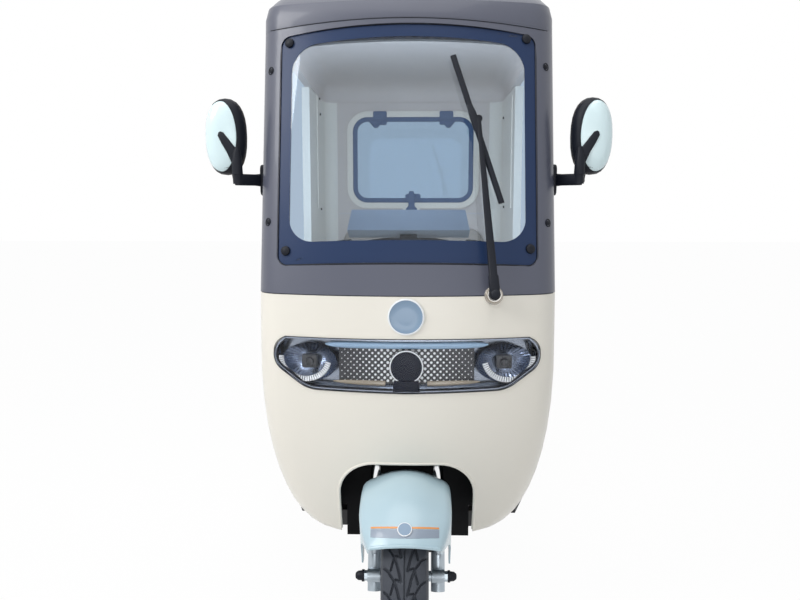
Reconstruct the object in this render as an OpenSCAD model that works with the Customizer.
// Cabbed electric tricycle: one steered front wheel under a nose cowl, a glazed cab with open
// doorways, a driver's seat and a rear bench over a driven two-wheel axle.
// +X is to the right seen from the front, -Y is forward, +Z is up, origin on the floor, mid-length.

/* [Overall] */
// Length from the front tyre to the rear bumper
overall_l = 2100; // [2060:5:2200]
// Distance from the rear axle to the rear bumper's face
rear_overhang = 327; // [315:1:340]
// Height of the floor's upper face
floor_z = 322; // [310:1:330]

/* [Wheels] */
// Outside radius of every tyre
wheel_r = 233; // [226:1:238]
// Width of every tyre at its sidewalls
tyre_w = 112; // [104:1:116]
// Radius of the bead seat
rim_r = 128; // [124:1:132]
// Radius of the front axle rod
front_axle_r = 8; // [6:0.5:10]
// Radius of the rear stub shafts
stub_r = 14; // [12:0.5:18]

/* [Steering] */
// Angle of the steering axis from vertical
rake = 20; // [16:1:22]
// Distance of the front axle ahead of the fork legs
lead = 42; // [36:1:46]
// Gap between the tyre and each fork leg
fork_gap = 8; // [6:0.5:12]
// Radius of the lower fork legs
slider_r = 18; // [16:0.5:18]
// Radius of the bright upper fork tubes
fork_tube_r = 15; // [12:0.5:16]
// Radius of the steering stem
stem_r = 16; // [13:0.5:18]
// Height of the handlebar's middle above the cowl's upper joint
bar_rise = 117; // [105:1:130]
// Length of the handlebar between its ends
bar_w = 620; // [580:5:640]

/* [Cab] */
// Width of the cab at the windscreen
cab_w = 766; // [750:2:790]
// Height of the cowl's lower edge
cowl_z = 290; // [290:1:312]
// Height of the joint between cowl and windscreen frame
seam_z = 949; // [940:1:960]
// Height of the joint between the walls and the roof
eaves_z = 1620; // [1600:2:1640]
// Rise of the roof's crown above its joint
roof_rise = 122; // [100:1:140]
// Lean of the windscreen from vertical
screen_lean = 12; // [9:0.5:14]
// Radius of the bowed windscreen and nose
screen_r = 1100; // [1000:10:1300]
// Thickness of the moulded nose cowl
cowl_t = 5; // [4:0.5:7]
// Thickness of the cab's walls
wall_t = 30; // [24:1:34]

/* [Rear cabin] */
// Width of the cabin over its rear quarter panels
rear_w = 860; // [850:2:880]
// Distance of the rear wall's outer face ahead of the bumper's
wall_ahead = 120; // [110:1:130]
// Distance of the rear window's pane inside each side of the cabin
pane_in = 156.5; // [150:0.5:180]
// Height of the rear window's pane
pane_h = 383; // [350:1:400]

/* [Windscreen] */
// Width of each pillar beside the glass
pillar_w = 55; // [50:1:64]
// Height of the glass's lower edge above the cowl's upper joint
glass_sill = 80; // [72:1:90]
// Distance of the glass's upper corners below the roof's joint
glass_head = 8; // [6:0.5:12]
// Thickness of the glass
glass_t = 6; // [4:0.5:8]

/* [Hidden] */
$fn = 64;

// Gap between pieces that seat on each other, and running gap of shafts in their bores
seat_gap = 0.3;
run_gap = 0.05;

// Axles
front_axle_y = -overall_l/2 + wheel_r;
bumper_y = overall_l/2;
rear_axle_y = bumper_y - rear_overhang;
track_in = 30;
rear_x = rear_w/2 - track_in;

// Steering axis: it crosses the fork legs' plane behind the front axle
steer_y = front_axle_y + lead*cos(rake);
steer_z = wheel_r - lead*sin(rake);
function axis_w(z) = (z - steer_z)/cos(rake);
function axis_y(z) = steer_y + (z - steer_z)*tan(rake);

// Cab: half width, and how the nose runs from its lower edge up to the brow
cab_hw = cab_w/2;
nose_y = front_axle_y + 5;
nose_tuck = 112;
nose_round_z = seam_z - 189;
nose_tip_hw = 250;
nose_top_lean = 0.048;
corner_r = 80;
corner_r_low = 130;
nose_r_low = 700;
cowl_rows = 12;
frame_rows = 9;
cowl_l = 366;
cowl_rear_y = nose_y + cowl_l;
pillar_depth = 190;
brow_rise = 22;

// Share of the way down from the round of the nose to the cowl's lower edge
function drop(z) = max(0, min(1, (nose_round_z - z)/(nose_round_z - cowl_z)));
function nose_hw(z) = nose_tip_hw + (cab_hw - nose_tip_hw)*sqrt(max(0, 1 - pow(drop(z), 2.3)));
function seam_front_y() = nose_y + (seam_z - nose_round_z)*nose_top_lean;
function nose_front(z) = z > seam_z ? seam_front_y() + (z - seam_z)*tan(screen_lean)
    : nose_y + nose_tuck*pow(drop(z), 2) + max(0, z - nose_round_z)*nose_top_lean;
function bow_r(z) = screen_r + (nose_r_low - screen_r)*drop(z);
function bend_r(z) = min(corner_r + (corner_r_low - corner_r)*drop(z), 0.6*nose_hw(z));
// Doorway's front edge: the cowl's, then swept forward to the pillar, which leans with the screen
function pillar_rear(z) = nose_front(z) + pillar_depth;
function rear_edge(z) = z <= seam_z + 40 ? cowl_rear_y
    : let (k = min(1, (z - seam_z - 40)/110)) cowl_rear_y + (pillar_rear(z) - cowl_rear_y)*k*(2 - k);

// Plan outline at one level, from the right rear edge round the nose to the left rear edge:
// a bow of radius r, tangent bends of radius c and straight sides at half width w
bow_steps = 10;
bend_steps = 6;
function half_plan(w, front, r, c, off) =
    let (turn = asin((w - c)/(r - c)), mid = front + r, bend_y = mid - (r - c)*cos(turn))
    concat(
        [for (i = [0 : bend_steps]) let (a = 90 + (turn - 90)*i/bend_steps)
            [w - c + (c - off)*sin(a), bend_y - (c - off)*cos(a)]],
        [for (i = [1 : bow_steps]) let (a = turn*(1 - i/bow_steps))
            [(r - off)*sin(a), mid - (r - off)*cos(a)]]);
function mirrored(points) = [for (i = [len(points) - 2 : -1 : 0]) [-points[i][0], points[i][1]]];
function plan(w, front, r, c, off, rear) =
    let (half = concat([[w - off, rear]], half_plan(w, front, r, c, off)))
    concat(half, mirrored(half));
function level(z, off) = plan(nose_hw(z), nose_front(z), bow_r(z), bend_r(z), off, rear_edge(z));
function raised(points, z) = [for (p = points) [p[0], p[1], z + brow(p, z)]];
// The brow lifts the joint under the roof towards the middle of the windscreen
function brow(p, z) = z < eaves_z - 1 ? 0
    : brow_rise*max(0, 1 - pow(p[0]/cab_hw, 2))*max(0, min(1, (nose_front(eaves_z) + 150 - p[1])/60));

function cowl_level(i) = cowl_z + (seam_z - cowl_z)*pow(i/cowl_rows, 2);
function frame_level(i) = seam_z + (eaves_z - seam_z)*i/frame_rows;

// Closed shell between two grids of points with equal rows and columns. A grid that goes round has
// closed columns, and one with a lid ends in a flat face over its last row
module shell(outer, inner, round = false, lid = false) {
    rows = len(outer);
    cols = len(outer[0]);
    base = rows*cols;
    last = round ? cols - 1 : cols - 2;
    function o(i, j) = i*cols + j % cols;
    function n(i, j) = base + i*cols + j % cols;
    function quad(a, b, c, d) = [[a, b, c], [a, c, d]];
    polyhedron(
        points = concat([for (row = outer) each row], [for (row = inner) each row]),
        faces = concat(
            [for (i = [0 : rows - 2], j = [0 : last])
                each quad(o(i, j), o(i, j + 1), o(i + 1, j + 1), o(i + 1, j))],
            [for (i = [0 : rows - 2], j = [0 : last])
                each quad(n(i + 1, j), n(i + 1, j + 1), n(i, j + 1), n(i, j))],
            [for (j = [0 : last]) each quad(n(0, j), n(0, j + 1), o(0, j + 1), o(0, j))],
            lid ? [[for (j = [0 : cols - 1]) o(rows - 1, j)],
                [for (j = [cols - 1 : -1 : 0]) n(rows - 1, j)]]
                : [for (j = [0 : last])
                    each quad(o(rows - 1, j), o(rows - 1, j + 1), n(rows - 1, j + 1), n(rows - 1, j))],
            round ? [] : [for (i = [0 : rows - 2])
                each quad(o(i + 1, 0), n(i + 1, 0), n(i, 0), o(i, 0))],
            round ? [] : [for (i = [0 : rows - 2])
                each quad(o(i, cols - 1), n(i, cols - 1), n(i + 1, cols - 1), o(i + 1, cols - 1))]));
}

// Solid stacked from closed loops of points
module stack(loops) {
    rows = len(loops);
    cols = len(loops[0]);
    polyhedron(
        points = [for (row = loops) each row],
        faces = concat(
            [for (i = [0 : rows - 2], j = [0 : cols - 1]) each [
                [i*cols + j, i*cols + (j + 1) % cols, (i + 1)*cols + (j + 1) % cols],
                [i*cols + j, (i + 1)*cols + (j + 1) % cols, (i + 1)*cols + j]]],
            [[for (j = [cols - 1 : -1 : 0]) j], [for (j = [0 : cols - 1]) (rows - 1)*cols + j]]));
}

module nose_band(off_out, off_in, first = 0) shell(
    [for (i = [first : cowl_rows]) raised(level(cowl_level(i), off_out), cowl_level(i))],
    [for (i = [first : cowl_rows]) raised(level(cowl_level(i), off_in), cowl_level(i))]);
module frame_band(off_out, off_in) shell(
    [for (i = [0 : frame_rows]) raised(level(frame_level(i), off_out), frame_level(i))],
    [for (i = [0 : frame_rows]) raised(level(frame_level(i), off_in), frame_level(i))]);
// What the cowl encloses, out to a gap under its inner face
module nose_inside(off) stack([for (i = [0 : cowl_rows])
    raised(level(cowl_level(i), off), cowl_level(i))]);

// Outlines and small bodies used by several pieces
module round_rect(w, h, r) {
    square([w - 2*r, h], center = true);
    square([w, h - 2*r], center = true);
    for (x = [-1, 1], y = [-1, 1])
        translate([x*(w/2 - r), y*(h/2 - r)]) circle(r = r);
}
// A flat outline in X and Z, as thick as t, its rear face at y
module slab_y(y, t) translate([0, y, 0]) rotate([90, 0, 0]) linear_extrude(t) children();
// A flat outline in Y and Z, as thick as t, its left face at x
module slab_x(x, t) translate([x, 0, 0]) rotate([90, 0, 90]) linear_extrude(t) children();
module box(lo, hi) translate(lo) cube(hi - lo);
module rod(p, q, r) {
    d = q - p;
    translate(p) rotate([0, acos(d[2]/norm(d)), atan2(d[1], d[0])]) cylinder(h = norm(d), r = r);
}
module both_sides() {
    children();
    mirror([1, 0, 0]) children();
}
module on_axis() translate([0, steer_y, steer_z]) rotate([-rake, 0, 0]) children();
module at_axle(x, y) translate([x, y, wheel_r]) rotate([0, 90, 0]) children();
module on_screen() translate([0, seam_front_y(), seam_z]) rotate([-screen_lean, 0, 0]) children();

// Wheels
crown_r = 95;
belly_r = (rim_r + wheel_r)/2;
sidewall_r = 110;
flange = 12;
function tyre_hw(r) = sqrt(sidewall_r*sidewall_r - pow(r - belly_r, 2)) - sidewall_r + tyre_w/2;
rim_hw = tyre_hw(rim_r + flange) + 0.7;
flange_t = 5;
barrel_t = 8;
hub_r = 32;
hub_hl = 40;
module tyre_profile() intersection() {
    translate([rim_r, -tyre_w/2]) square([wheel_r - rim_r, tyre_w]);
    translate([wheel_r - crown_r, 0]) circle(r = crown_r);
    translate([belly_r, sidewall_r - tyre_w/2]) circle(r = sidewall_r);
    translate([belly_r, tyre_w/2 - sidewall_r]) circle(r = sidewall_r);
}
module rim_profile(bore) {
    translate([rim_r - barrel_t, -rim_hw - flange_t]) square([barrel_t, 2*(rim_hw + flange_t)]);
    for (side = [-1, 1])
        translate([rim_r - barrel_t, side*(rim_hw + flange_t/2) - flange_t/2])
            square([barrel_t + flange, flange_t]);
    translate([bore, -5]) square([rim_r - barrel_t/2 - bore, 10]);
    translate([bore, -hub_hl]) square([hub_r - bore, 2*hub_hl]);
}
module tyre(x, y) at_axle(x, y) rotate_extrude() tyre_profile();
module rim(x, y, bore) at_axle(x, y) difference() {
    rotate_extrude() rim_profile(bore);
    for (a = [0 : 60 : 300])
        rotate(a) translate([(rim_r + hub_r)/2 - 4, 0, -20]) cylinder(h = 40, r = 22);
}
module front_tyre() color([0.12, 0.12, 0.13]) tyre(0, front_axle_y);
module front_rim() color([0.7, 0.72, 0.74]) rim(0, front_axle_y, front_axle_r + run_gap);
module rear_tyre_left() color([0.12, 0.12, 0.13]) tyre(-rear_x, rear_axle_y);
module rear_tyre_right() color([0.12, 0.12, 0.13]) tyre(rear_x, rear_axle_y);
module rear_rim_left() color([0.7, 0.72, 0.74]) rim(-rear_x, rear_axle_y, stub_r + run_gap);
module rear_rim_right() color([0.7, 0.72, 0.74]) rim(rear_x, rear_axle_y, stub_r + run_gap);

// Front brake: a disc on the hub and a caliper on the right fork leg
disc_x = hub_hl;
disc_t = 4;
disc_r = 90;
module front_brake_disc() color([0.6, 0.6, 0.62]) at_axle(disc_x, front_axle_y) difference() {
    cylinder(h = disc_t, r = disc_r);
    translate([0, 0, -1]) cylinder(h = disc_t + 2, r = front_axle_r + 3);
    for (a = [0 : 45 : 315])
        rotate(a) translate([70, 0, -1]) cylinder(h = disc_t + 2, r = 7);
}
fork_w = tyre_w + 2*(slider_r + fork_gap);
caliper_x = fork_w/2 - slider_r;
module brake_caliper() color([0.1, 0.1, 0.11]) difference() {
    on_axis() box([27, -20, 56], [caliper_x + 2, 12, 94]);
    on_axis() translate([fork_w/2, 0, 40]) cylinder(h = 80, r = slider_r + seat_gap/2);
    at_axle(disc_x - 6, front_axle_y) cylinder(h = disc_t + 12, r = disc_r + 6);
}

// Fork: the leading axle lies ahead of the legs
slider_top = wheel_r - 17;
slider_low = 42;
yoke_w = wheel_r + 152;
yoke_h = 40;
yoke_r = 24;
fender_hw = fork_w/2 + slider_r + 12;
fender_t = 4;
stay_w = 125;
module fork_sliders() color([0.55, 0.58, 0.6]) on_axis() {
    for (side = [-1, 1]) {
        translate([side*fork_w/2, 0, -slider_low]) cylinder(h = slider_top + slider_low, r = slider_r);
        translate([side*fork_w/2, 0, slider_top - 26]) cylinder(h = 26, r = slider_r + 2);
        translate([side*fork_w/2 - slider_r + 2, -lead, -14]) cube([2*slider_r - 4, lead, 28]);
        translate([side*fork_w/2, -lead, 0]) rotate([0, 90, 0])
            cylinder(h = 2*slider_r - 4, r = 16, center = true);
        translate([side*(hub_hl + disc_t + 12) - 6, -lead, 0]) rotate([0, 90, 0]) cylinder(h = 14, r = 13);
        translate([side*(fork_w/2 + slider_r + 3) - 5, -lead, 0]) rotate([0, 90, 0])
            cylinder(h = 10, r = 13, $fn = 6);
        translate([side*(fork_w/2 + fender_hw - fender_t)/2, 0, stay_w]) rotate([0, 90, 0])
            cylinder(h = fender_hw - fender_t - fork_w/2, r = 9, center = true);
    }
    translate([-fork_w/2 - 26, -lead, 0]) rotate([0, 90, 0]) cylinder(h = fork_w + 52, r = front_axle_r);
}
module fork_tubes() color([0.8, 0.8, 0.82]) on_axis() for (side = [-1, 1])
    translate([side*fork_w/2, 0, slider_top]) cylinder(h = yoke_w - slider_top, r = fork_tube_r);

// Stem: yoke, stem and the handlebar's clamp
head_w = yoke_w + yoke_h + 6;
head_l = 145;
bar_w0 = axis_w(seam_z + bar_rise);
bar_r = 11;
clamp_hw = 24;
module steering_stem() color([0.1, 0.1, 0.11]) on_axis() difference() {
    union() {
        translate([-fork_w/2, -yoke_r, yoke_w]) cube([fork_w, 2*yoke_r, yoke_h]);
        for (side = [-1, 1])
            translate([side*fork_w/2, 0, yoke_w]) cylinder(h = yoke_h, r = yoke_r);
        translate([0, 0, yoke_w]) cylinder(h = bar_w0 - yoke_w, r = stem_r);
        translate([0, 0, head_w + head_l + 6]) cylinder(h = 14, r = stem_r + 9);
        translate([0, 0, bar_w0]) rotate([0, 90, 0]) cylinder(h = 2*clamp_hw, r = bar_r + 8, center = true);
    }
    translate([0, 0, bar_w0]) rotate([0, 90, 0]) cylinder(h = 4*clamp_hw, r = bar_r, center = true);
}

// Handlebar: middle, bends and ends of one half, in the steering axis's own frame
bar_mid = [70, 0, bar_w0];
bar_bend = [150, 45, bar_w0];
bar_end = [bar_w/2, 95, bar_w0 - 4];
bar_dir = (bar_end - bar_bend)/norm(bar_end - bar_bend);
grip_r = 16;
grip_l = 105;
grip_start = bar_end - grip_l*bar_dir;
pod_hw = 172;
pod_h = 60;
function curve(a, b, c, t) = (1 - t)*(1 - t)*a + 2*t*(1 - t)*b + t*t*c;
function bend(a, b, c, reach) = [for (i = [0 : 4])
    curve(b + reach*(a - b)/norm(a - b), b, b + reach*(c - b)/norm(c - b), i/4)];
bar_path = concat([[0, 0, bar_w0]], bend([0, 0, bar_w0], bar_mid, bar_bend, 24),
    bend(bar_mid, bar_bend, bar_end, 28), [bar_end - (bar_r + 9)*bar_dir]);
bar_fn = 14;
module handlebar() color([0.12, 0.12, 0.13]) on_axis() both_sides()
    for (i = [0 : len(bar_path) - 2]) hull() {
        translate(bar_path[i]) sphere(r = bar_r, $fn = bar_fn);
        translate(bar_path[i + 1]) sphere(r = bar_r, $fn = bar_fn);
    }
module grips() color([0.06, 0.06, 0.06]) on_axis() both_sides() difference() {
    rod(grip_start, bar_end, grip_r);
    rod(bar_bend, bar_end - 8*bar_dir, bar_r);
}
module controls() color([0.15, 0.15, 0.16]) on_axis() both_sides() difference() {
    union() {
        rod(grip_start - 44*bar_dir, grip_start - 2*bar_dir, 22);
        rod(grip_start - 24*bar_dir, grip_start - 24*bar_dir + [0, -52, 0], 7);
        rod(grip_start - 24*bar_dir + [0, -48, 0], bar_end + [-14, -58, 0], 6);
    }
    rod(bar_bend, bar_end, bar_r);
}
module instrument_pod() color([0.5, 0.53, 0.56]) on_axis()
    translate([0, 24, bar_w0 + bar_r + 8]) rotate([90, 0, 0]) linear_extrude(70)
        polygon([[-pod_hw, 0], [pod_hw, 0], [pod_hw - 12, pod_h], [12 - pod_hw, pod_h]]);

// Front mudguard: a saddle lofted round the axle, with wings that hang outside the fork legs.
// Angles are from the top of the wheel, the front positive
guard_r = wheel_r + 33;
guard_hw = fork_w/2;
guard_drop = 22;
guard_front = 50;
guard_rear = 55;
guard_steps = 21;
wing_front = 12;
wing_rear = 24;
wing_low = 38;
wing_top = guard_r - guard_drop - 26;
lip_hw = guard_hw + 5;
function wing_share(a) = max(0, a > 0 ? (a - wing_front)/(guard_front - wing_front)
    : (-a - wing_rear)/(guard_rear - wing_rear));
function wing_edge(a) = wing_low + (wing_top - 8 - wing_low)*pow(wing_share(a), a > 0 ? 0.8 : 1.2);
function wing_hw(a) = fender_hw - (fender_hw - lip_hw)*pow(max(0, (a - 20)/(guard_front - 20)), 2);
// Half profile at one angle, from the middle over the shoulder and down the wing: [x, radius]
function guard_half(a) = concat(
    [for (t = [0 : 0.25 : 1]) [guard_hw*t, guard_r - guard_drop*t*t]],
    [for (t = [45 : 15 : 90]) [guard_hw + (wing_hw(a) - guard_hw)*(sin(t) - 0.5)/0.5,
        wing_top + (guard_r - guard_drop - wing_top)*cos(t)/cos(30)]],
    [for (t = [1 : 3]) [wing_hw(a), wing_top + (wing_edge(a) - wing_top)*t/3]]);
function guard_normal(p, i) = let (
    d = (i < len(p) - 1 ? p[i + 1] : p[i]) - (i > 0 ? p[i - 1] : [-p[1][0], p[1][1]]))
    [-d[1], d[0]]/norm(d);
function guard_skin(a, t) =
    let (p = guard_half(a), q = [for (i = [0 : len(p) - 1]) p[i] - t*guard_normal(p, i)])
    concat(q, [for (i = [len(q) - 1 : -1 : 1]) [-q[i][0], q[i][1]]]);
function guard_open(a, t) = let (q = guard_skin(a, t), n = (len(q) + 1)/2)
    concat([for (i = [n : len(q) - 1]) q[i]], [for (i = [0 : n - 1]) q[i]]);
function guard_row(a, t) = [for (p = guard_open(a, t))
    [p[0], front_axle_y - p[1]*sin(a), wheel_r + p[1]*cos(a)]];
function guard_angle(i) = guard_front - (guard_front + guard_rear)*i/guard_steps;
module front_fender() color([0.78, 0.86, 0.9]) difference() {
    shell([for (i = [0 : guard_steps]) guard_row(guard_angle(i), 0)],
        [for (i = [0 : guard_steps]) guard_row(guard_angle(i), fender_t)]);
    on_axis() for (side = [-1, 1])
        translate([side*fork_w/2, 0, slider_top - 60]) cylinder(h = 200, r = slider_r + 6);
}

// Nose cowl and what sits in it
lamp_low = seam_z - 243;
lamp_top = seam_z - 106;
lamp_end = [cab_hw - 92, lamp_top - 47];
lamp_end_r = 47;
lamp_sweep = [cab_hw - 161, lamp_low + 94];
lamp_sweep_r = 90;
arch_hw = 178;
arch_top = 2*wheel_r + 50;
arch_r = 96;
wiper_x = cab_hw - 168;
wiper_s = 4;
wiper_base_r = 17;
module lamp_outline(grow) offset(delta = grow) intersection() {
    hull() {
        for (side = [-1, 1]) {
            translate([side*lamp_end[0], lamp_end[1]]) circle(r = lamp_end_r, $fn = 32);
            translate([side*lamp_sweep[0], lamp_sweep[1]]) circle(r = lamp_sweep_r, $fn = 64);
        }
        translate([0, lamp_low + lamp_sweep_r]) circle(r = lamp_sweep_r, $fn = 32);
    }
    translate([-cab_w, lamp_low - 20]) square([2*cab_w, lamp_top - lamp_low + 20]);
}
module arch_outline(grow) hull() {
    for (side = [-1, 1])
        translate([side*(arch_hw - arch_r), arch_top - arch_r]) circle(r = arch_r + grow, $fn = 40);
    translate([-arch_hw - grow, cowl_z - 60]) square([2*(arch_hw + grow), 60]);
}
module wiper_hole() on_screen() translate([wiper_x, 60, wiper_s]) rotate([90, 0, 0])
    cylinder(h = 120, r = wiper_base_r + seat_gap);
module in_nose() slab_y(nose_y + 212, 400) children();
module front_cowl() color([0.93, 0.92, 0.88]) difference() {
    nose_band(0, cowl_t);
    in_nose() arch_outline(0);
    in_nose() lamp_outline(seat_gap);
    wiper_hole();
}
liner_gap = 18;
liner_t = 4;
liner_rear = nose_y + 281;
liner_low = cowl_z - 74;
liner_hw = arch_hw - 2;
module arch_liner() color([0.07, 0.07, 0.08]) {
    difference() {
        intersection() {
            nose_inside(cowl_t + seat_gap);
            slab_y(liner_rear, 400) arch_outline(liner_gap + liner_t);
        }
        slab_y(liner_rear - liner_t, 400) arch_outline(liner_gap);
        on_axis() translate([0, 0, 200]) cylinder(h = 300, r = fork_w/2 + yoke_r + 8);
        box([-400, nose_y - 200, 0], [400, liner_rear + 100, cowl_z + 20]);
    }
    box([-liner_hw, liner_rear - liner_t, liner_low], [liner_hw, liner_rear, cowl_z + 40]);
}
shield_y = cowl_rear_y - 2;
shield_t = 22;
dash_z = seam_z + 39;
dash_t = 16;
module leg_shield() color([0.85, 0.84, 0.8]) difference() {
    union() {
        intersection() {
            nose_inside(cowl_t + seat_gap);
            box([-500, shield_y - shield_t, floor_z], [500, shield_y, seam_z]);
        }
        intersection() {
            stack([for (z = [seam_z - 20, dash_z]) raised(level(z, wall_t + seat_gap), z)]);
            union() {
                box([-500, shield_y - shield_t, seam_z - 10], [500, shield_y, dash_z + 10]);
                box([-500, nose_y - 200, dash_z - dash_t], [500, shield_y, dash_z + 10]);
            }
        }
    }
    on_axis() translate([0, 0, axis_w(dash_z) - 80]) cylinder(h = 160, r = stem_r + 10);
}

// Headlamp across the nose: a dished reflector behind a clear lens flush with the cowl
lens_t = 4;
lamp_depth = 44;
lamp_row = cowl_rows - 3;
module headlamp_lens() color([0.8, 0.85, 0.9, 0.4]) intersection() {
    nose_band(-2, lens_t - 2, lamp_row);
    in_nose() lamp_outline(0);
}
module headlamp_reflector() color([0.85, 0.86, 0.88]) difference() {
    intersection() {
        nose_band(lens_t - 2 + seat_gap, lamp_depth, lamp_row);
        in_nose() lamp_outline(-1);
    }
    intersection() {
        nose_band(-20, lamp_depth - 4, lamp_row);
        in_nose() lamp_outline(-6);
    }
}

// Windscreen: bowed glass let into its frame
glass_in = 3;
glass_w = cab_w - 2*pillar_w;
glass_s = glass_sill/cos(screen_lean);
glass_h = (eaves_z - seam_z)/cos(screen_lean) - glass_s - glass_head;
glass_corner = 26;
glass_arch = 14;
sight_side = 27;
sight_low = 48;
sight_top = 22;
sight_corner = 60;
arch_half = glass_w/2 - glass_corner;
glass_arch_r = (arch_half*arch_half + glass_arch*glass_arch)/(2*glass_arch);
module glass_outline(grow) {
    translate([0, glass_s + glass_h/2]) round_rect(glass_w + 2*grow, glass_h + 2*grow, glass_corner + grow);
    intersection() {
        translate([0, glass_s + glass_h + glass_arch + grow - glass_arch_r]) circle(r = glass_arch_r);
        translate([-arch_half, glass_s + glass_h - 30]) square([2*arch_half, 80]);
    }
}
module sight_outline() translate([0, glass_s + sight_low + (glass_h - sight_low - sight_top)/2])
    round_rect(glass_w - 2*sight_side, glass_h - sight_low - sight_top, sight_corner);
module bow(r) translate([0, screen_r, -100]) cylinder(h = glass_s + glass_h + 300, r = r, $fn = 360);
module windscreen_glass() color([0.6, 0.7, 0.75, 0.3]) on_screen() intersection() {
    difference() {
        bow(screen_r - glass_in);
        bow(screen_r - glass_in - glass_t);
    }
    slab_y(140, 180) glass_outline(0);
}
module windscreen_frame() color([0.42, 0.42, 0.46]) difference() {
    frame_band(0, wall_t);
    on_screen() difference() {
        slab_y(140, 180) glass_outline(seat_gap);
        bow(screen_r - glass_in - glass_t);
    }
    on_screen() slab_y(200, 260) sight_outline();
    wiper_hole();
}

// Roof: a crowned shell from the windscreen's brow to the rear wall
rear_wall_y = bumper_y - wall_ahead;
roof_rear_w = rear_w + 6;
roof_rear_y = rear_wall_y + 4;
roof_bend = 90;
roof_levels = [[1, 0], [0.998, 0.3], [0.982, 0.55], [0.935, 0.77], [0.84, 0.9], [0.62, 0.97], [0.3, 1]];
roof_t = 26;
roof_mid_y = (nose_front(eaves_z) + roof_rear_y)/2;
function roof_corner(a, off) = [roof_rear_w/2 - roof_bend + (roof_bend - off)*cos(a),
    roof_rear_y - roof_bend + (roof_bend - off)*sin(a)];
function roof_half(off) = half_plan(cab_hw, nose_front(eaves_z), bow_r(eaves_z), bend_r(eaves_z), off);
function roof_loop(off) = concat(
    roof_half(off),
    mirrored(roof_half(off)),
    [for (a = [0 : 15 : 90]) [-roof_corner(a, off)[0], roof_corner(a, off)[1]]],
    [for (a = [90 : -15 : 0]) roof_corner(a, off)]);
function roof_row(off, k, z) = [for (p = roof_loop(off))
    let (q = [p[0]*k, roof_mid_y + (p[1] - roof_mid_y)*k])
    [q[0], q[1], z + seat_gap + (k == 1 ? brow(q, eaves_z) : 0)]];
module roof() color([0.42, 0.42, 0.46]) shell(
    [for (l = roof_levels) roof_row(0, l[0], eaves_z + roof_rise*l[1])],
    [for (l = roof_levels) roof_row(roof_t, l[0], eaves_z + (roof_rise - roof_t)*l[1])],
    round = true, lid = true);

// Rear cabin: two quarter panels, each with its rounded corner, and the rear wall between them
wall_corner = 85;
spring_half = rear_overhang - 105;
drop_y = rear_axle_y - spring_half - 61;
door_rear_y = drop_y - 40;
wall_low = 400;
quarter_low = 250;
guard_rear_r = wheel_r + 29;
module quarter() difference() {
    translate([0, 0, quarter_low]) linear_extrude(eaves_z - quarter_low) {
        translate([rear_w/2 - wall_t, door_rear_y]) square([wall_t, rear_wall_y - wall_corner - door_rear_y]);
        translate([rear_w/2 - wall_corner, rear_wall_y - wall_corner]) intersection() {
            square(wall_corner + 10);
            difference() {
                circle(r = wall_corner);
                circle(r = wall_corner - wall_t);
            }
        }
    }
    at_axle(0, rear_axle_y) cylinder(h = rear_w, r = guard_rear_r);
    box([0, rear_axle_y, 0], [rear_w, rear_wall_y + 100, wall_low]);
}
module quarter_right() color([0.93, 0.92, 0.88]) quarter();
module quarter_left() color([0.93, 0.92, 0.88]) mirror([1, 0, 0]) quarter();
window_z = eaves_z - 256;
pane_w = rear_w - 2*pane_in;
window_lap = 14;
ring_w = 26;
module rear_wall() color([0.93, 0.92, 0.88]) difference() {
    box([wall_corner - rear_w/2, wall_in_y, rear_rail_z[1] + 4],
        [rear_w/2 - wall_corner, rear_wall_y, eaves_z]);
    translate([0, 0, window_z]) slab_y(rear_wall_y + 50, 200)
        round_rect(pane_w - 2*window_lap, pane_h - 2*window_lap, 60);
}
wall_in_y = rear_wall_y - wall_t;
pane_t = 6;
pane_corner = 66;
module rear_window_frame() color([0.9, 0.89, 0.86]) translate([0, 0, window_z]) slab_y(wall_in_y, 10)
    difference() {
        round_rect(pane_w + 2*ring_w, pane_h + 2*ring_w, pane_corner + ring_w);
        round_rect(pane_w + 2*seat_gap, pane_h + 2*seat_gap, pane_corner + seat_gap);
    }
module rear_window_pane() color([0.5, 0.6, 0.7, 0.5]) translate([0, 0, window_z]) slab_y(wall_in_y, pane_t)
    round_rect(pane_w, pane_h, pane_corner);
hinge_x = pane_w/2 - 123.5;
module window_fittings() color([0.6, 0.62, 0.65]) {
    for (side = [-1, 1]) {
        translate([side*hinge_x, 0, window_z + pane_h/2 - 18]) slab_y(wall_in_y - pane_t, 8)
            round_rect(62, 34, 8);
        translate([side*hinge_x, 0, window_z + pane_h/2 + 8]) slab_y(wall_in_y - 10, 4) round_rect(62, 36, 6);
    }
    translate([0, 0, window_z - pane_h/2 + 22]) slab_y(wall_in_y - pane_t, 12) round_rect(70, 36, 10);
}

// Floor and frame
floor_t = 20;
floor_hw = rear_w/2 - wall_t - 5;
floor_rear = door_rear_y + 32;
sill_drop = 60;
sill_t = 12;
tongue_hw = liner_hw;
floor_front = cowl_rear_y + 1;
floor_nose_hw = cab_hw - 65;
floor_full_y = cowl_rear_y + 246;
floor_half = [[tongue_hw, shield_y - shield_t], [tongue_hw, floor_front], [floor_nose_hw, floor_front],
    [floor_hw, floor_full_y], [floor_hw, floor_rear]];
module floor_outline(inset) polygon(concat(
    [for (p = floor_half) [p[0] - inset, p[1]]],
    [for (i = [len(floor_half) - 1 : -1 : 0]) [inset - floor_half[i][0], floor_half[i][1]]]));
module floor_pan() color([0.2, 0.2, 0.21]) {
    translate([0, 0, floor_z - floor_t]) linear_extrude(floor_t) floor_outline(0);
    translate([0, 0, floor_z - floor_t - sill_drop]) linear_extrude(sill_drop + 1) difference() {
        floor_outline(0);
        floor_outline(sill_t);
        translate([-rear_w, shield_y - 1000]) square([2*rear_w, 1000 + 20]);
        translate([-rear_w, door_rear_y - 4]) square([2*rear_w, 1000]);
    }
}
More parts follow.
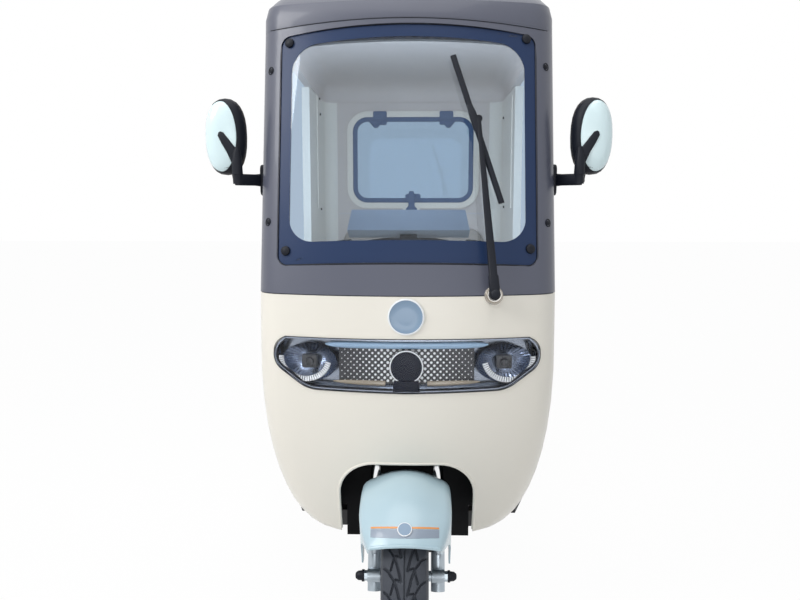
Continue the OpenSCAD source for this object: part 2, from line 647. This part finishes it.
rail_x = 200;
rail_w = 40;
rail_h = 60;
rail_top = floor_z - floor_t;
front_rail_top = cowl_z - 2;
post_y = [liner_rear + 3, liner_rear + 39];
frame_rear = rear_axle_y + spring_half + 40;
spring_rise = 90;
leaf_t = 8;
leaf_n = 4;
leaf_w = 50;
axle_tube_r = 30;
pad_h = 10;
leaf_low = wheel_r + axle_tube_r + pad_h;
eye_r = 14;
eye_pin_r = 6;
eye_z = leaf_low + (leaf_n - 0.5)*leaf_t + spring_rise;
rear_rail_z = [eye_z + 39, eye_z + 89];
cross_y = [for (k = [0.5, 0.74]) post_y[1] + (drop_y - post_y[1])*k];
bay_hw = rail_x - rail_w/2;
head_mid = head_w + head_l/2;
spine_z = steer_z + head_mid*cos(rake);
module cross_tube(y, low, top) box([-bay_hw, y, low], [bay_hw, y + 40, top]);
module frame() color([0.1, 0.1, 0.11]) {
    difference() {
        union() {
            on_axis() translate([0, 0, head_w]) cylinder(h = head_l, r = stem_r + 14);
            box([-20, steer_y + head_mid*sin(rake), spine_z - 40], [20, post_y[1], spine_z + 20]);
            box([-20, post_y[0], rail_top - rail_h], [20, post_y[1], spine_z + 20]);
        }
        on_axis() translate([0, 0, head_w - 10]) cylinder(h = head_l + 20, r = stem_r + run_gap);
    }
    box([-bay_hw, post_y[0], rail_top - rail_h], [bay_hw, post_y[1], front_rail_top]);
}
module frame_cross_tubes() color([0.1, 0.1, 0.11]) {
    for (y = cross_y)
        cross_tube(y, rail_top - rail_h, rail_top);
    for (y = [drop_y, frame_rear - 40])
        cross_tube(y, rear_rail_z[0], rear_rail_z[1]);
}
module frame_rails() color([0.1, 0.1, 0.11])
    for (side = [-1, 1]) translate([side*rail_x, 0, 0]) {
        box([-rail_w/2, post_y[0], rail_top - rail_h], [rail_w/2, drop_y + 40, front_rail_top]);
        box([-rail_w/2, floor_front + 1, rail_top - rail_h], [rail_w/2, drop_y + 40, rail_top]);
        box([-rail_w/2, drop_y, rail_top - rail_h], [rail_w/2, drop_y + 40, rear_rail_z[1]]);
        box([-rail_w/2, drop_y, rear_rail_z[0]], [rail_w/2, frame_rear, rear_rail_z[1]]);
        for (end = [-1, 1]) translate([0, rear_axle_y + end*spring_half, 0]) {
            for (cheek = [-1, 1])
                translate([cheek*(leaf_w/2 + 3) - 3, -18, eye_z - 18])
                    cube([6, 36, rear_rail_z[0] - eye_z + 18]);
            translate([-leaf_w/2 - 6, -18, rear_rail_z[0] - 6]) cube([leaf_w + 12, 36, 6]);
            translate([1 - rail_w/2, -18, rear_rail_z[0] - 6]) cube([rail_w - 2, 36, 16]);
            translate([0, 0, eye_z]) rotate([0, 90, 0]) cylinder(h = leaf_w + 14, r = eye_pin_r, center = true);
        }
    }

// Rear axle with its motor, on leaf springs
spring_r = (spring_half*spring_half + spring_rise*spring_rise)/(2*spring_rise);
spring_turn = asin(spring_half/spring_r);
leaf_in = spring_r - leaf_t/2;
leaf_steps = 12;
function leaf_turn(i) = spring_turn*(1 - 0.2*i);
function leaf_run(i, from, to) = [for (k = [0 : leaf_steps]) let (a = from + (to - from)*k/leaf_steps)
    (leaf_in + i*leaf_t)*[cos(a), sin(a)]];
// Stepped outline of the stacked leaves, each shorter than the one above it
leaf_outline = concat(
    leaf_run(0, -leaf_turn(0), leaf_turn(0)),
    [for (i = [1 : leaf_n - 1]) each leaf_run(i, leaf_turn(i - 1), leaf_turn(i))],
    leaf_run(leaf_n, leaf_turn(leaf_n - 1), -leaf_turn(leaf_n - 1)),
    [for (i = [leaf_n - 1 : -1 : 1]) each leaf_run(i, -leaf_turn(i), -leaf_turn(i - 1))]);
module leaf_eyes(r) for (end = [-1, 1])
    rotate(end*spring_turn) translate([spring_r, 0]) circle(r = r);
module leaf_springs() color([0.16, 0.16, 0.17]) for (side = [-1, 1])
    translate([side*rail_x - leaf_w/2, rear_axle_y, leaf_low + (leaf_n - 0.5)*leaf_t + spring_r])
        rotate([0, 90, 0]) linear_extrude(leaf_w) difference() {
            union() {
                polygon(leaf_outline);
                leaf_eyes(eye_r);
            }
            leaf_eyes(eye_pin_r + run_gap);
        }
motor_r = 98;
plate_x = rear_x - tyre_w/2 - 24;
module rear_axle() color([0.22, 0.22, 0.23]) {
    at_axle(-plate_x, rear_axle_y) cylinder(h = 2*plate_x, r = axle_tube_r);
    at_axle(-rear_x - hub_hl - 22, rear_axle_y) cylinder(h = 2*(rear_x + hub_hl + 22), r = stub_r);
    at_axle(-105, rear_axle_y) cylinder(h = 210, r = motor_r);
    at_axle(60, rear_axle_y) cylinder(h = 70, r = motor_r + 14);
    for (side = [-1, 1]) {
        at_axle(side*(plate_x + 6) - 6, rear_axle_y) cylinder(h = 12, r = 96);
        at_axle(side*(rear_x + hub_hl + 14) - 8, rear_axle_y) cylinder(h = 16, r = 24, $fn = 6);
        box([side*rail_x - leaf_w/2, rear_axle_y - 40, wheel_r],
            [side*rail_x + leaf_w/2, rear_axle_y + 40, leaf_low - seat_gap]);
    }
}
flare_out = rear_x + tyre_w/2 + 12;
module rear_fenders() color([0.1, 0.1, 0.11]) both_sides() at_axle(rear_w/2 - wall_t, rear_axle_y)
    rotate(84) rotate_extrude(angle = 192)
        translate([guard_rear_r - 6, 0]) square([6, flare_out - rear_w/2 + wall_t]);

// Seats
seat_base_hw = 165;
seat_base_y = [door_rear_y - 370, door_rear_y - 70];
seat_base_top = 560;
cushion = [430, 390, 85];
cushion_corner = 50;
cushion_gap = 4.6;
back_size = [400, 75, 310];
back_lean = 8;
cushion_y = (seat_base_y[0] + seat_base_y[1])/2 - 15;
module driver_seat_base() color([0.12, 0.12, 0.13]) difference() {
    box([-seat_base_hw, seat_base_y[0], floor_z], [seat_base_hw, seat_base_y[1], seat_base_top]);
    box([5 - seat_base_hw, seat_base_y[0] + 5, floor_z - 1],
        [seat_base_hw - 5, seat_base_y[1] - 5, seat_base_top - 5]);
}
module battery_pack() color([0.2, 0.22, 0.26])
    box([15 - seat_base_hw, seat_base_y[0] + 20, floor_z],
        [seat_base_hw - 15, seat_base_y[1] - 20, seat_base_top - 40]);
module driver_cushion() color([0.3, 0.3, 0.32]) translate([0, cushion_y, seat_base_top])
    linear_extrude(cushion[2]) round_rect(cushion[0], cushion[1], cushion_corner);
module driver_backrest() color([0.3, 0.3, 0.32])
    translate([0, seat_base_y[1], seat_base_top + cushion[2] + cushion_gap]) rotate([-back_lean, 0, 0])
        translate([0, 0, back_size[2]/2]) slab_y(back_size[1] + 5, back_size[1])
            round_rect(back_size[0], back_size[2], cushion_corner + 10);
bench_z = rear_rail_z[1] + 20;
bench_front = door_rear_y + 12;
deck_t = 20;
bench_t = 120;
bench_corner = 40;
bench_back = [1085, 62];
bench_gap = 2;
panel_hw = floor_hw - 75;
module rear_seat_box() color([0.8, 0.79, 0.76]) {
    box([1 - floor_hw, bench_front, bench_z - deck_t], [floor_hw - 1, rear_wall_y - wall_corner, bench_z]);
    box([wall_corner + 1 - rear_w/2, bench_front, bench_z - deck_t],
        [rear_w/2 - wall_corner - 1, wall_in_y - 1, bench_z]);
}
module rear_seat_panel() color([0.8, 0.79, 0.76])
    box([-panel_hw, bench_front, floor_z], [panel_hw, floor_rear, bench_z - deck_t]);
module rear_cushion() color([0.3, 0.3, 0.32])
    translate([0, (bench_front + wall_in_y - bench_back[1] + bench_gap)/2, bench_z]) linear_extrude(bench_t)
        round_rect(2*floor_hw - 20, wall_in_y - bench_back[1] - bench_gap - bench_front, bench_corner);
module rear_backrest() color([0.3, 0.3, 0.32])
    translate([0, 0, (bench_z + bench_t + bench_gap + bench_back[0])/2]) slab_y(wall_in_y, bench_back[1])
        round_rect(2*floor_hw - 120, bench_back[0] - bench_z - bench_t - bench_gap, bench_corner + 20);

// Rear bumper with two plate screws' holes and a towing tongue
plate_pitch = 140;
plate_hole_r = 3.3;
bumper_z = 402;
bumper_h = 84;
bumper_t = 30;
tow_r = 11;
tow_t = 14;
tow_z = 310;
tow_hw = 40;
module rear_bumper() color([0.12, 0.12, 0.13]) difference() {
    union() {
        translate([0, 0, bumper_z]) slab_y(bumper_y, bumper_t) round_rect(rear_w - 60, bumper_h, bumper_t);
        for (side = [-1, 1])
            box([side*rail_x - 20, frame_rear, bumper_z - 2],
                [side*rail_x + 20, bumper_y - bumper_t + 1, rear_rail_z[1] - 10]);
        box([-tow_hw, bumper_y - 62, tow_z], [tow_hw, bumper_y - 2, tow_z + tow_t]);
        box([-tow_hw, bumper_y - 62, tow_z], [tow_hw, bumper_y - 50, bumper_z + 28]);
        box([-tow_hw, bumper_y - 62, bumper_z - 2], [tow_hw, bumper_y - bumper_t + 1, bumper_z + 28]);
    }
    for (side = [-1, 1])
        translate([side*plate_pitch/2, bumper_y + 10, bumper_z]) rotate([90, 0, 0])
            cylinder(h = 60, r = plate_hole_r);
    translate([0, bumper_y - 24, tow_z - 10]) cylinder(h = tow_t + 20, r = tow_r);
}
module tail_lamps() color([0.7, 0.08, 0.06]) for (side = [-1, 1])
    translate([side*(rear_w/2 - 160), 0, 700]) slab_y(rear_wall_y + 16, 16) round_rect(70, 150, 20);
module brake_pedal() color([0.1, 0.1, 0.11]) {
    box([95, shield_y + 30, floor_z], [145, shield_y + 70, floor_z + 14]);
    rod([120, shield_y + 50, floor_z + 8], [120, shield_y + 36, floor_z + 96], 8);
    translate([120, shield_y + 34, floor_z + 100]) rotate([-20, 0, 0]) cube([80, 10, 50], center = true);
}

// Mirrors: rounded backs on the front, glass to the rear
mirror_c = [cab_hw + 95, nose_y + 180, seam_z + 399];
mirror_hw = 53;
mirror_hh = 99;
mirror_d = 46;
mirror_rear = mirror_c[1] + mirror_d/2;
mirror_swell = [[1, 0], [1, 0.3], [0.95, 0.6], [0.82, 0.83], [0.58, 0.96], [0.25, 1]];
mirror_steps = 28;
mirror_square = 0.84;
stalk_z = seam_z + 286;
stalk_y = nose_front(stalk_z) + 158;
stalk_r = 9;
stalk_bend = [mirror_c[0] - 20, mirror_c[1] + 30, stalk_z];
stalk_top = [mirror_c[0] - 20, mirror_c[1] + 4, mirror_c[2] - mirror_hh + 20];
function bulge(c) = sign(c)*pow(abs(c), mirror_square);
function mirror_loop(k) = [for (i = [0 : mirror_steps - 1]) let (a = -360*i/mirror_steps)
    [k*mirror_hw*bulge(cos(a)), k*mirror_hh*bulge(sin(a))]];
module mirror_arms() color([0.1, 0.1, 0.11]) both_sides() {
    translate([0, stalk_y, stalk_z]) slab_x(cab_hw, 8) round_rect(56, 70, 14);
    rod([cab_hw + 4, stalk_y, stalk_z], stalk_bend, stalk_r);
    translate(stalk_bend) sphere(r = stalk_r + 1);
    rod(stalk_bend, stalk_top, stalk_r);
}
module mirror_shells() color([0.85, 0.93, 0.93]) both_sides() difference() {
    stack([for (s = mirror_swell) [for (p = mirror_loop(s[0]))
        [mirror_c[0] + p[0], mirror_rear - mirror_d*s[1], mirror_c[2] + p[1]]]]);
    translate([mirror_c[0], 0, mirror_c[2]]) slab_y(mirror_rear + 1, 5) polygon(mirror_loop(0.9));
    rod(stalk_bend, stalk_top, stalk_r + seat_gap);
}
module mirror_glasses() color([0.8, 0.85, 0.9]) both_sides()
    translate([mirror_c[0], 0, mirror_c[2]]) slab_y(mirror_rear - 0.7, 3) polygon(mirror_loop(0.89));

// Wiper: spindle housing in the cowl, arm turning on its pin, blade on the arm
wiper_pin_r = 6;
wiper_plane = -12;
arm_t = 8;
arm_end = [-38, 436];
blade_top = [-101, 600];
blade_low = [18, 226];
blade_w = 14;
blade_t = 8;
module on_spindle() on_screen() translate([wiper_x, 0, wiper_s]) rotate([90, 0, 0]) children();
module wiper_spindle() color([0.75, 0.74, 0.7]) on_spindle() {
    translate([0, 0, -46]) cylinder(h = 46 - wiper_plane - 6, r = wiper_base_r);
    translate([0, 0, -46]) cylinder(h = 46 - wiper_plane + arm_t + 4, r = wiper_pin_r);
}
module wiper_bar(p, q, w, t) {
    d = q - p;
    translate([p[0], p[1], 0]) rotate(atan2(d[1], d[0])) translate([0, -w/2, 0]) cube([norm(d), w, t]);
}
module wiper_arm() color([0.08, 0.08, 0.08]) on_spindle() translate([0, 0, -wiper_plane]) difference() {
    union() {
        cylinder(h = arm_t, r = 14);
        linear_extrude(arm_t) polygon([[-9, 0], [9, 0], arm_end + [5, 0], arm_end - [5, 0]]);
        translate([arm_end[0], arm_end[1], 0]) cylinder(h = arm_t, r = 9);
    }
    translate([0, 0, -1]) cylinder(h = arm_t + 2, r = wiper_pin_r + run_gap);
}
module wiper_blade() color([0.05, 0.05, 0.05]) on_spindle() translate([0, 0, -wiper_plane - blade_t])
    wiper_bar(blade_low, blade_top, blade_w, blade_t);

// Draw
frame();
frame_rails();
frame_cross_tubes();
floor_pan();
front_cowl();
arch_liner();
leg_shield();
windscreen_frame();
windscreen_glass();
roof();
quarter_left();
quarter_right();
rear_wall();
rear_window_frame();
rear_window_pane();
window_fittings();
headlamp_reflector();
headlamp_lens();
wiper_spindle();
mirror_arms();
mirror_shells();
mirror_glasses();
driver_seat_base();
driver_cushion();
driver_backrest();
rear_seat_box();
rear_seat_panel();
rear_cushion();
rear_backrest();
battery_pack();
rear_axle();
leaf_springs();
rear_fenders();
rear_bumper();
tail_lamps();
brake_pedal();
steering_stem();
fork_tubes();
fork_sliders();
front_fender();
handlebar();
grips();
controls();
instrument_pod();
brake_caliper();
front_tyre();
front_rim();
front_brake_disc();
rear_tyre_left();
rear_rim_left();
rear_tyre_right();
rear_rim_right();
wiper_arm();
wiper_blade();
